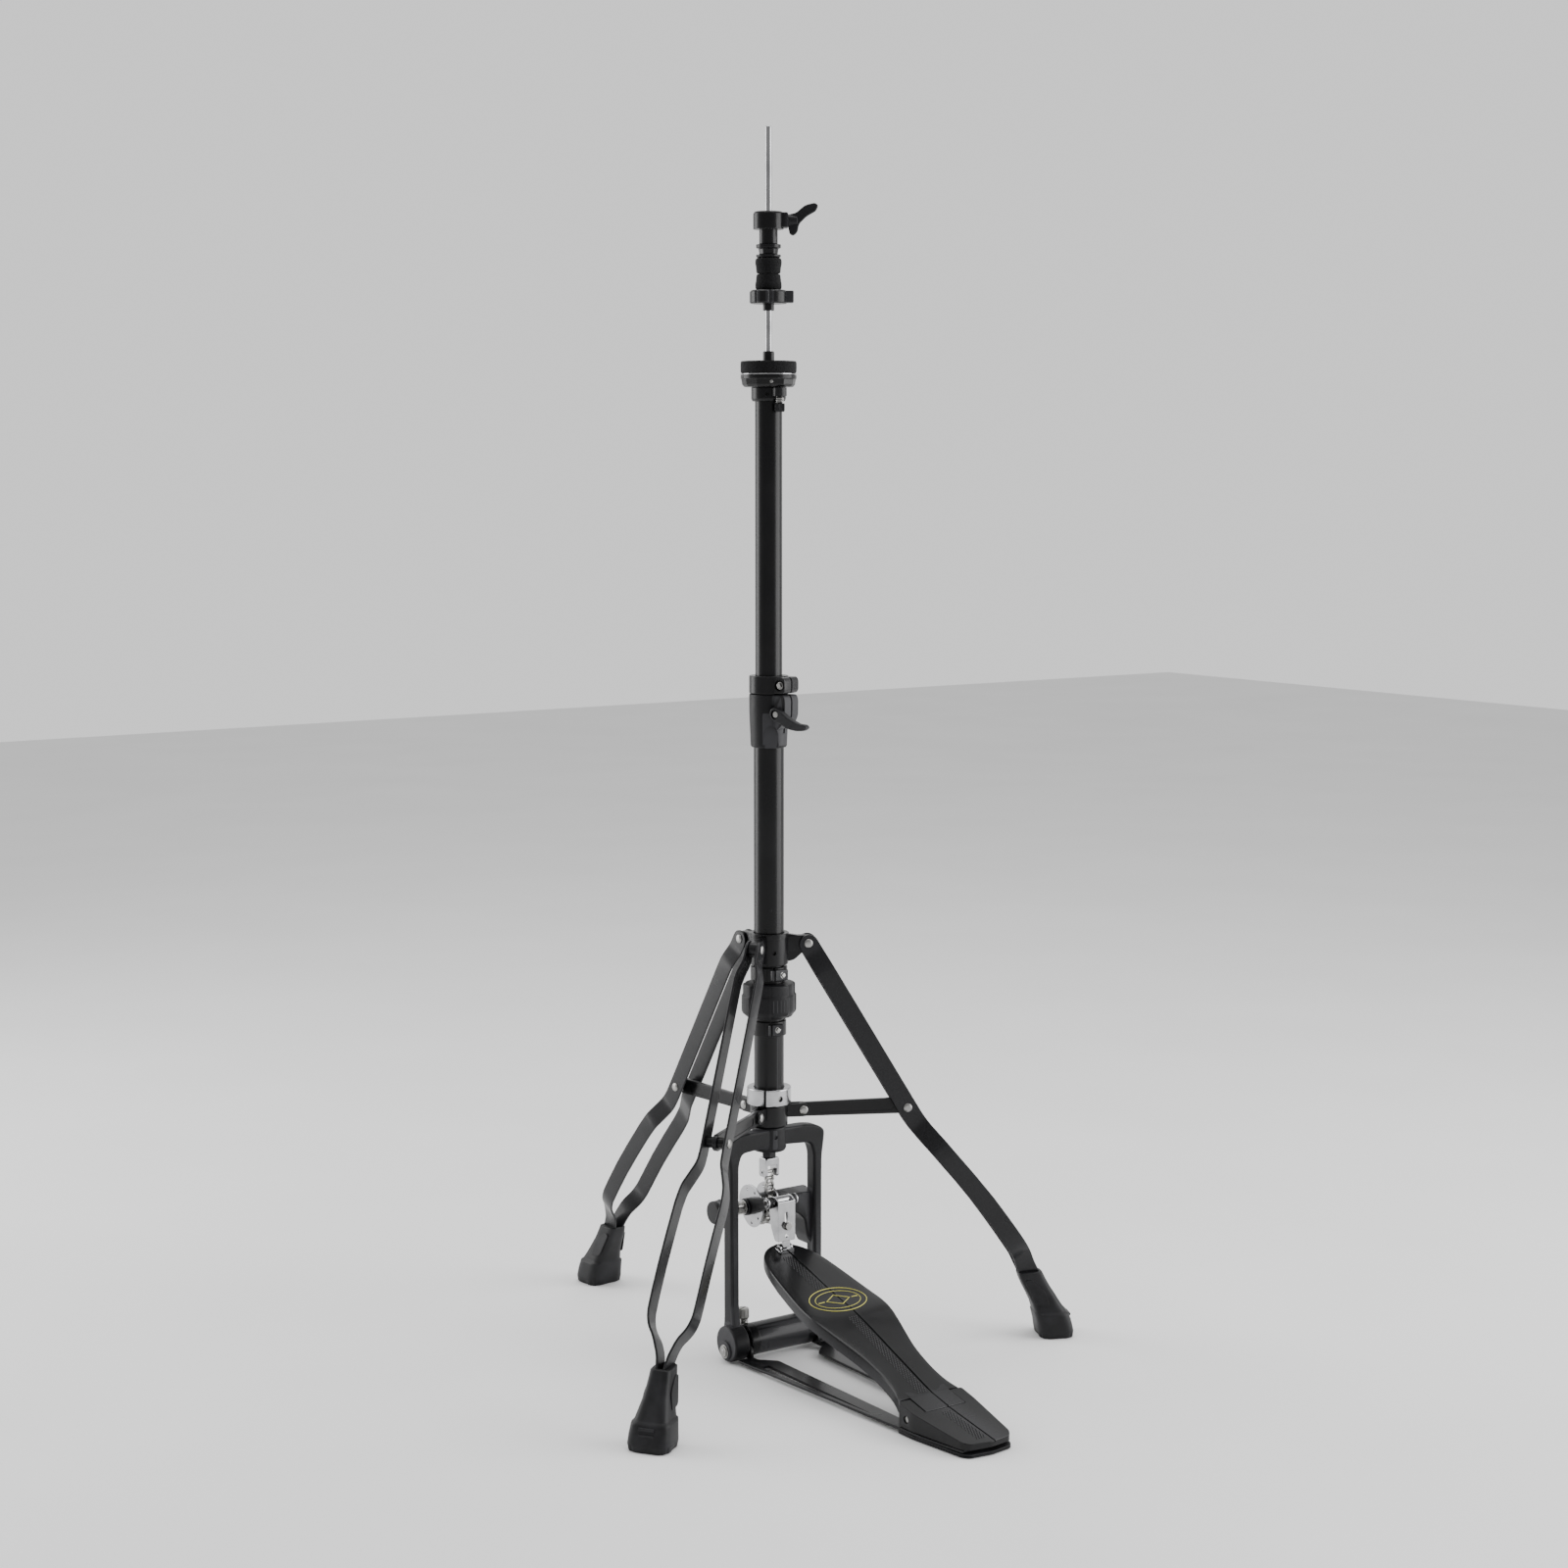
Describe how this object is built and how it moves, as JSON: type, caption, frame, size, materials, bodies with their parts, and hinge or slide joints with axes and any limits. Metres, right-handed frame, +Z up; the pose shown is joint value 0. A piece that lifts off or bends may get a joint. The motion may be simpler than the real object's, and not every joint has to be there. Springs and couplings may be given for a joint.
{
  "type": "hi-hat stand",
  "caption": "Black hi-hat stand with a folding tripod of paired flat strips, a tension knob, a clutch with felts, a tilting seat and a chain-driven foot pedal.",
  "frame": {"origin": "centre of the stand's box at floor level, legs spread", "axes": "+Z up along the column, -Y towards the player's heel, +X to the player's right"},
  "size_m": [0.5332, 0.6464, 1.1597],
  "materials": {
    "satin_black_steel": "satin",
    "matt_black_casting": "matte",
    "chrome_plate": "polished",
    "spring_steel": "satin",
    "black_felt": "matte",
    "black_rubber": "matte"
  },
  "bodies": {
    "base": {"lower_tube": "satin_black_steel", "height_clamp": "matt_black_casting", "upper_memory_ring": "satin_black_steel", "leg_stop_ring": "satin_black_steel", "tension_ring": "satin_black_steel", "lower_memory_ring": "chrome_plate", "spring_seat": "spring_steel", "return_spring": "spring_steel", "pedal_frame": "matt_black_casting", "cross_beam": "satin_black_steel", "base_plate": "satin_black_steel", "hinge_rod": "chrome_plate", "cam_axle": "chrome_plate", "heel_plate": "satin_black_steel", "heel_pin": "chrome_plate", "heel_rubber": "black_rubber"},
    "tripod_base": {"brace_collar": "satin_black_steel"},
    "leg_slider": {"leg_collar": "satin_black_steel"},
    "leg_right": {"leg_right_strip_a": "satin_black_steel", "leg_right_strip_b": "satin_black_steel", "boot_right": "black_rubber"},
    "leg_brace_right": {"brace_right": "satin_black_steel"},
    "leg_back": {"leg_back_strip_a": "satin_black_steel", "leg_back_strip_b": "satin_black_steel", "boot_back": "black_rubber"},
    "leg_brace_back": {"brace_back": "satin_black_steel"},
    "leg_left": {"leg_left_strip_a": "satin_black_steel", "leg_left_strip_b": "satin_black_steel", "boot_left": "black_rubber"},
    "leg_brace_left": {"brace_left": "satin_black_steel"},
    "upper_stand": {"upper_tube": "satin_black_steel", "seat_mount": "satin_black_steel"},
    "cymbal_seat": {"seat_cup": "satin_black_steel", "seat_washer": "chrome_plate", "seat_felt": "black_felt"},
    "tilt_adjuster": {"tilt_screw": "satin_black_steel"},
    "pull_rod": {"lower_rod": "chrome_plate", "upper_rod": "chrome_plate", "rod_coupler": "chrome_plate", "chain_clevis": "chrome_plate", "rod_end_nut": "chrome_plate", "chain_upper": "spring_steel"},
    "clutch": {"clutch_body": "satin_black_steel", "clutch_lock_nut": "satin_black_steel", "clutch_flange_nut": "satin_black_steel", "clutch_felt_lower": "black_felt", "clutch_felt_upper": "black_felt"},
    "clutch_wing": {"clutch_wing_bolt": "satin_black_steel"},
    "clutch_release": {"clutch_release_nut": "satin_black_steel"},
    "height_screw": {"height_lever": "matt_black_casting"},
    "tension_adjuster": {"tension_knob": "satin_black_steel"},
    "cam": {"drive_cam": "chrome_plate", "drive_lever": "satin_black_steel", "chain_lower": "spring_steel"},
    "link": {"toe_link": "chrome_plate", "toe_link_bolt": "chrome_plate"},
    "pedal": {"footboard": "satin_black_steel", "toe_clip": "chrome_plate"},
    "left_spur": {"spur_left": "chrome_plate"},
    "right_spur": {"spur_right": "chrome_plate"}
  },
  "joints": [
    {"name": "footboard_press", "type": "hinge", "parent": "base", "child": "pedal", "pos_m": [-0.01143, -0.24463, 0.015], "axis": [-1, 0, 0], "range_deg": [0, 9.2], "stiffness_Nm_per_rad": 4, "springref_deg": -34.38},
    {"name": "cam_turn", "type": "hinge", "parent": "base", "child": "cam", "pos_m": [-0.01143, 0.03837, 0.139], "axis": [1, 0, 0], "range_deg": [0, 62.6]},
    {"name": "rod_pull", "type": "slide", "parent": "base", "child": "pull_rod", "axis": [0, 0, -1], "range_m": [0, 0.0187], "deforming": ["return_spring"]},
    {"name": "link_swing", "type": "hinge", "parent": "cam", "child": "link", "pos_m": [-0.01143, 0.00137, 0.151], "axis": [1, 0, 0], "range_deg": [-59.6, 0]},
    {"name": "clutch_slide", "type": "slide", "parent": "pull_rod", "child": "clutch", "axis": [0, 0, 1], "range_m": [-0.02, 0.06]},
    {"name": "clutch_wing_turn", "type": "hinge", "parent": "clutch", "child": "clutch_wing", "pos_m": [0.00505, 0.01004, 1.0743], "axis": [0.8241, -0.5664, 0], "range_deg": [0, 300]},
    {"name": "clutch_nut_turn", "type": "hinge", "parent": "clutch", "child": "clutch_release", "pos_m": [-0.01143, 0.02137, 1.004], "axis": [0, 0, 1], "range_deg": [0, 90]},
    {"name": "height_slide", "type": "slide", "parent": "base", "child": "upper_stand", "axis": [0, 0, 1], "range_m": [-0.12, 0.03]},
    {"name": "tilt_screw_turn", "type": "hinge", "parent": "upper_stand", "child": "tilt_adjuster", "pos_m": [-0.01143, 0.00287, 0.915], "axis": [0, 0, 1], "range_deg": [0, 330]},
    {"name": "seat_tilt", "type": "hinge", "parent": "upper_stand", "child": "cymbal_seat", "pos_m": [-0.01143, 0.03757, 0.92215], "axis": [-1, 0, 0], "range_deg": [0, 1.2]},
    {"name": "height_lever_turn", "type": "hinge", "parent": "base", "child": "height_screw", "pos_m": [-0.00442, 0.00211, 0.619], "axis": [0.9397, 0.342, 0], "range_deg": [-60, 30]},
    {"name": "tension_turn", "type": "hinge", "parent": "base", "child": "tension_adjuster", "pos_m": [-0.01143, 0.02137, 0.344], "axis": [0, 0, 1], "continuous": true},
    {"name": "tripod_swivel", "type": "hinge", "parent": "base", "child": "tripod_base", "pos_m": [-0.01143, 0.02137, 0.232], "axis": [0, 0, 1], "range_deg": [-40, 25]},
    {"name": "leg_fold", "type": "slide", "parent": "tripod_base", "child": "leg_slider", "axis": [0, 0, 1], "range_m": [0, 0.108]},
    {"name": "leg_right_hinge", "type": "hinge", "parent": "leg_slider", "child": "leg_right", "pos_m": [0.02205, 0.00562, 0.3981], "axis": [-0.4258, -0.9048, 0], "range_deg": [-16.75, 0]},
    {"name": "brace_right_hinge", "type": "hinge", "parent": "tripod_base", "child": "leg_brace_right", "pos_m": [0.01834, 0.00736, 0.2357], "axis": [-0.4258, -0.9048, 0], "range_deg": [0, 60.28]},
    {"name": "leg_back_hinge", "type": "hinge", "parent": "leg_slider", "child": "leg_back", "pos_m": [-0.01453, 0.05824, 0.3981], "axis": [0.9965, 0.0837, 0], "range_deg": [-16.75, 0]},
    {"name": "brace_back_hinge", "type": "hinge", "parent": "tripod_base", "child": "leg_brace_back", "pos_m": [-0.01418, 0.05416, 0.2357], "axis": [0.9965, 0.0837, 0], "range_deg": [0, 60.28]},
    {"name": "leg_left_hinge", "type": "hinge", "parent": "leg_slider", "child": "leg_left", "pos_m": [-0.04181, 0.00026, 0.3981], "axis": [-0.5707, 0.8211, 0], "range_deg": [-16.75, 0]},
    {"name": "brace_left_hinge", "type": "hinge", "parent": "tripod_base", "child": "leg_brace_left", "pos_m": [-0.03845, 0.0026, 0.2357], "axis": [-0.5707, 0.8211, 0], "range_deg": [0, 60.28]},
    {"name": "spur_left_slide", "type": "slide", "parent": "base", "child": "left_spur", "axis": [0, 0, 1], "range_m": [-0.003, 0.006]},
    {"name": "spur_right_slide", "type": "slide", "parent": "base", "child": "right_spur", "axis": [0, 0, 1], "range_m": [-0.003, 0.006]}
  ],
  "couplings": [
    {"joint": "cam_turn", "follows": "footboard_press", "ratio": 6.7983},
    {"joint": "rod_pull", "follows": "footboard_press", "m_per_rad": 0.11557},
    {"joint": "link_swing", "follows": "footboard_press", "ratio": -6.4695},
    {"joint": "tilt_screw_turn", "follows": "seat_tilt", "ratio": 274.73},
    {"joint": "leg_right_hinge", "follows": "leg_fold", "rad_per_m": -2.6907},
    {"joint": "brace_right_hinge", "follows": "leg_fold", "rad_per_m": 9.7254},
    {"joint": "leg_back_hinge", "follows": "leg_fold", "rad_per_m": -2.6907},
    {"joint": "brace_back_hinge", "follows": "leg_fold", "rad_per_m": 9.7254},
    {"joint": "leg_left_hinge", "follows": "leg_fold", "rad_per_m": -2.6907},
    {"joint": "brace_left_hinge", "follows": "leg_fold", "rad_per_m": 9.7254}
  ]
}
